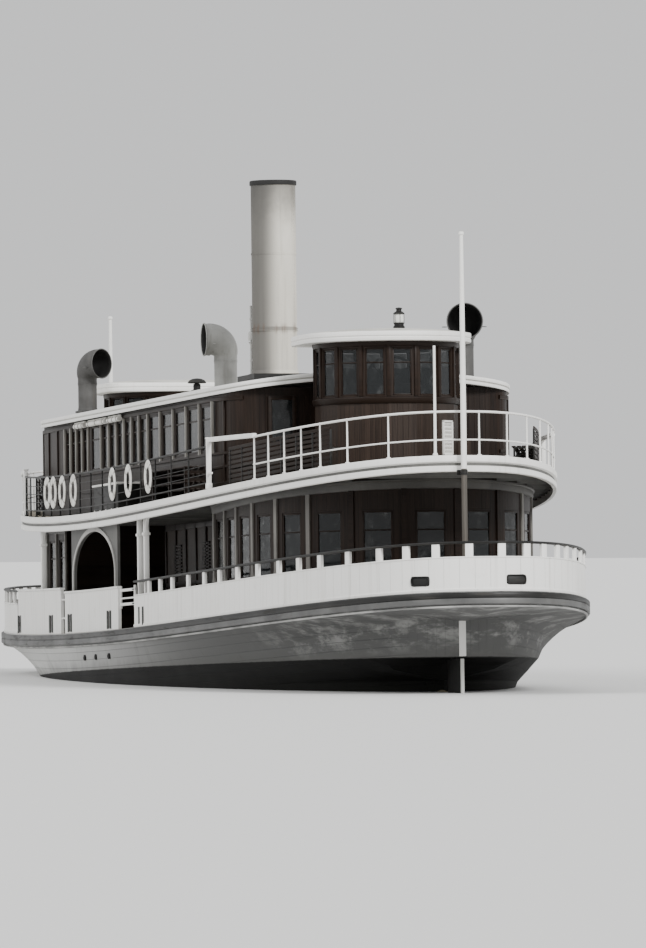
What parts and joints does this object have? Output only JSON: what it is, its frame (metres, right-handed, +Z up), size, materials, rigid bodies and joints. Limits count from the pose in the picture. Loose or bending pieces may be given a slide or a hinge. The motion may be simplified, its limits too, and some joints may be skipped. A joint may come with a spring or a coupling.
{
  "type": "double-ended passenger steam ferry",
  "caption": "Double-ended wooden passenger steam ferry with two decks, a wheelhouse at each end, a tall funnel, turning rudders and screws, and a hollow cabin on each deck.",
  "frame": {"origin": "on the water plane, on the centreline, midway between the two ends", "axes": "+X forward along the keel, +Y to port, +Z up"},
  "size_m": [39.133, 8.21, 13.26],
  "materials": {
    "white_paint": "satin white lead paint on timber",
    "hull_paint": "matt grey hull paint over planking, black boot-top",
    "dark_paint": "black paint, worn",
    "varnish": "dark varnished timber",
    "roof_canvas": "painted canvas",
    "funnel_paint": "buff funnel paint, sooted",
    "bronze": "cast bronze",
    "galvanised": "grey painted sheet iron"
  },
  "bodies": {
    "ship": {"hull": "hull_paint", "guard_strake": "dark_paint", "bulwark_fore": "white_paint", "upper_rail_fore": "white_paint", "wheelhouse_roof_fore": "white_paint", "staff_fore": "white_paint", "bulwark_rail_fore": "dark_paint", "bitts_fore": "dark_paint", "lower_cabin_fore": "varnish", "wheelhouse_fore": "varnish", "bulwark_aft": "white_paint", "upper_rail_aft": "white_paint", "wheelhouse_roof_aft": "white_paint", "staff_aft": "white_paint", "bulwark_rail_aft": "dark_paint", "bitts_aft": "dark_paint", "lower_cabin_aft": "varnish", "wheelhouse_aft": "varnish", "side_panel_starboard": "white_paint", "side_posts_starboard": "white_paint", "arch_board_starboard": "white_paint", "side_rail_starboard": "dark_paint", "upper_cabin_starboard": "varnish", "side_panel_port": "white_paint", "side_posts_port": "white_paint", "arch_board_port": "white_paint", "side_rail_port": "dark_paint", "upper_cabin_port": "varnish", "cowl_trunk_midship": "galvanised", "cowl_trunk_port": "galvanised", "cowl_trunk_starboard": "galvanised", "engine_casing": "varnish", "uptake_casing": "varnish", "upper_deck": "white_paint", "upper_cabin_roof": "roof_canvas", "funnel_coaming": "dark_paint", "funnel": "funnel_paint", "whistle_pipe": "bronze"},
    "propeller_fore": {"propeller_fore": "bronze"},
    "propeller_aft": {"propeller_aft": "bronze"},
    "rudder_fore": {"rudder_fore": "dark_paint"},
    "rudder_aft": {"rudder_aft": "dark_paint"},
    "steering_wheel_fore": {"steering_wheel_fore": "varnish"},
    "steering_wheel_aft": {"steering_wheel_aft": "varnish"},
    "wheelhouse_door_fore": {"wheelhouse_door_fore": "varnish"},
    "wheelhouse_door_aft": {"wheelhouse_door_aft": "varnish"},
    "upper_cabin_door_fore": {"upper_cabin_door_fore": "varnish"},
    "upper_cabin_door_aft": {"upper_cabin_door_aft": "varnish"},
    "lower_cabin_door_fore": {"lower_cabin_door_fore": "varnish"},
    "lower_cabin_door_aft": {"lower_cabin_door_aft": "varnish"},
    "gangway_gate_starboard": {"gangway_gate_starboard": "white_paint"},
    "gangway_gate_port": {"gangway_gate_port": "white_paint"},
    "cowl_head_midship": {"cowl_head_midship": "galvanised"},
    "cowl_head_port": {"cowl_head_port": "galvanised"},
    "cowl_head_starboard": {"cowl_head_starboard": "galvanised"}
  },
  "joints": [
    {"name": "propeller_fore_spin", "type": "hinge", "parent": "ship", "child": "propeller_fore", "pos_m": [15.2, 0, -1.2], "axis": [1, 0, 0], "continuous": true},
    {"name": "propeller_aft_spin", "type": "hinge", "parent": "ship", "child": "propeller_aft", "pos_m": [-15.2, 0, -1.2], "axis": [1, 0, 0], "continuous": true},
    {"name": "rudder_fore_turn", "type": "hinge", "parent": "ship", "child": "rudder_fore", "pos_m": [16.2, 0, 0], "axis": [0, 0, 1], "range_deg": [-35, 35]},
    {"name": "rudder_aft_turn", "type": "hinge", "parent": "ship", "child": "rudder_aft", "pos_m": [-16.2, 0, 0], "axis": [0, 0, 1], "range_deg": [-35, 35]},
    {"name": "steering_wheel_fore_turn", "type": "hinge", "parent": "ship", "child": "steering_wheel_fore", "pos_m": [11.11, 0, 5.96], "axis": [1, 0, 0], "range_deg": [-420, 420]},
    {"name": "steering_wheel_aft_turn", "type": "hinge", "parent": "ship", "child": "steering_wheel_aft", "pos_m": [-11.11, 0, 5.81], "axis": [1, 0, 0], "range_deg": [-420, 420]},
    {"name": "wheelhouse_door_fore_hinge", "type": "hinge", "parent": "ship", "child": "wheelhouse_door_fore", "pos_m": [10.375, 1.4421, 5.75], "axis": [0, 0, 1], "range_deg": [0, 90]},
    {"name": "wheelhouse_door_aft_hinge", "type": "hinge", "parent": "ship", "child": "wheelhouse_door_aft", "pos_m": [-11.4723, -1.2071, 5.6], "axis": [0, 0, 1], "range_deg": [0, 90]},
    {"name": "upper_cabin_door_fore_hinge", "type": "hinge", "parent": "ship", "child": "upper_cabin_door_fore", "pos_m": [9.4202, -1.63, 4.9], "axis": [0, 0, 1], "range_deg": [0, 90]},
    {"name": "upper_cabin_door_aft_hinge", "type": "hinge", "parent": "ship", "child": "upper_cabin_door_aft", "pos_m": [-10.8202, 1.63, 4.95], "axis": [0, 0, 1], "range_deg": [0, 90]},
    {"name": "lower_cabin_door_fore_hinge", "type": "hinge", "parent": "ship", "child": "lower_cabin_door_fore", "pos_m": [7.6997, -0.42, 2.2], "axis": [0, 0, 1], "range_deg": [0, 90]},
    {"name": "lower_cabin_door_aft_hinge", "type": "hinge", "parent": "ship", "child": "lower_cabin_door_aft", "pos_m": [-7.6997, 0.42, 2.2], "axis": [0, 0, 1], "range_deg": [0, 90]},
    {"name": "gangway_gate_starboard_hinge", "type": "hinge", "parent": "ship", "child": "gangway_gate_starboard", "pos_m": [4.085, -3.9452, 1.75], "axis": [0, 0, 1], "range_deg": [0, 90]},
    {"name": "gangway_gate_port_hinge", "type": "hinge", "parent": "ship", "child": "gangway_gate_port", "pos_m": [4.085, 3.9452, 1.75], "axis": [0, 0, 1], "range_deg": [-90, 0]},
    {"name": "cowl_midship_turn", "type": "hinge", "parent": "ship", "child": "cowl_head_midship", "pos_m": [-2.3, -0.53, 7], "axis": [0, 0, 1], "continuous": true},
    {"name": "cowl_port_turn", "type": "hinge", "parent": "ship", "child": "cowl_head_port", "pos_m": [7.85, 2.33, 6.9], "axis": [0, 0, 1], "continuous": true},
    {"name": "cowl_starboard_turn", "type": "hinge", "parent": "ship", "child": "cowl_head_starboard", "pos_m": [-8.1, -2.43, 6.8], "axis": [0, 0, 1], "continuous": true}
  ],
  "couplings": [
    {"joint": "propeller_aft_spin", "follows": "propeller_fore_spin", "ratio": 1},
    {"joint": "steering_wheel_fore_turn", "follows": "rudder_fore_turn", "ratio": 12},
    {"joint": "steering_wheel_aft_turn", "follows": "rudder_aft_turn", "ratio": 12}
  ]
}
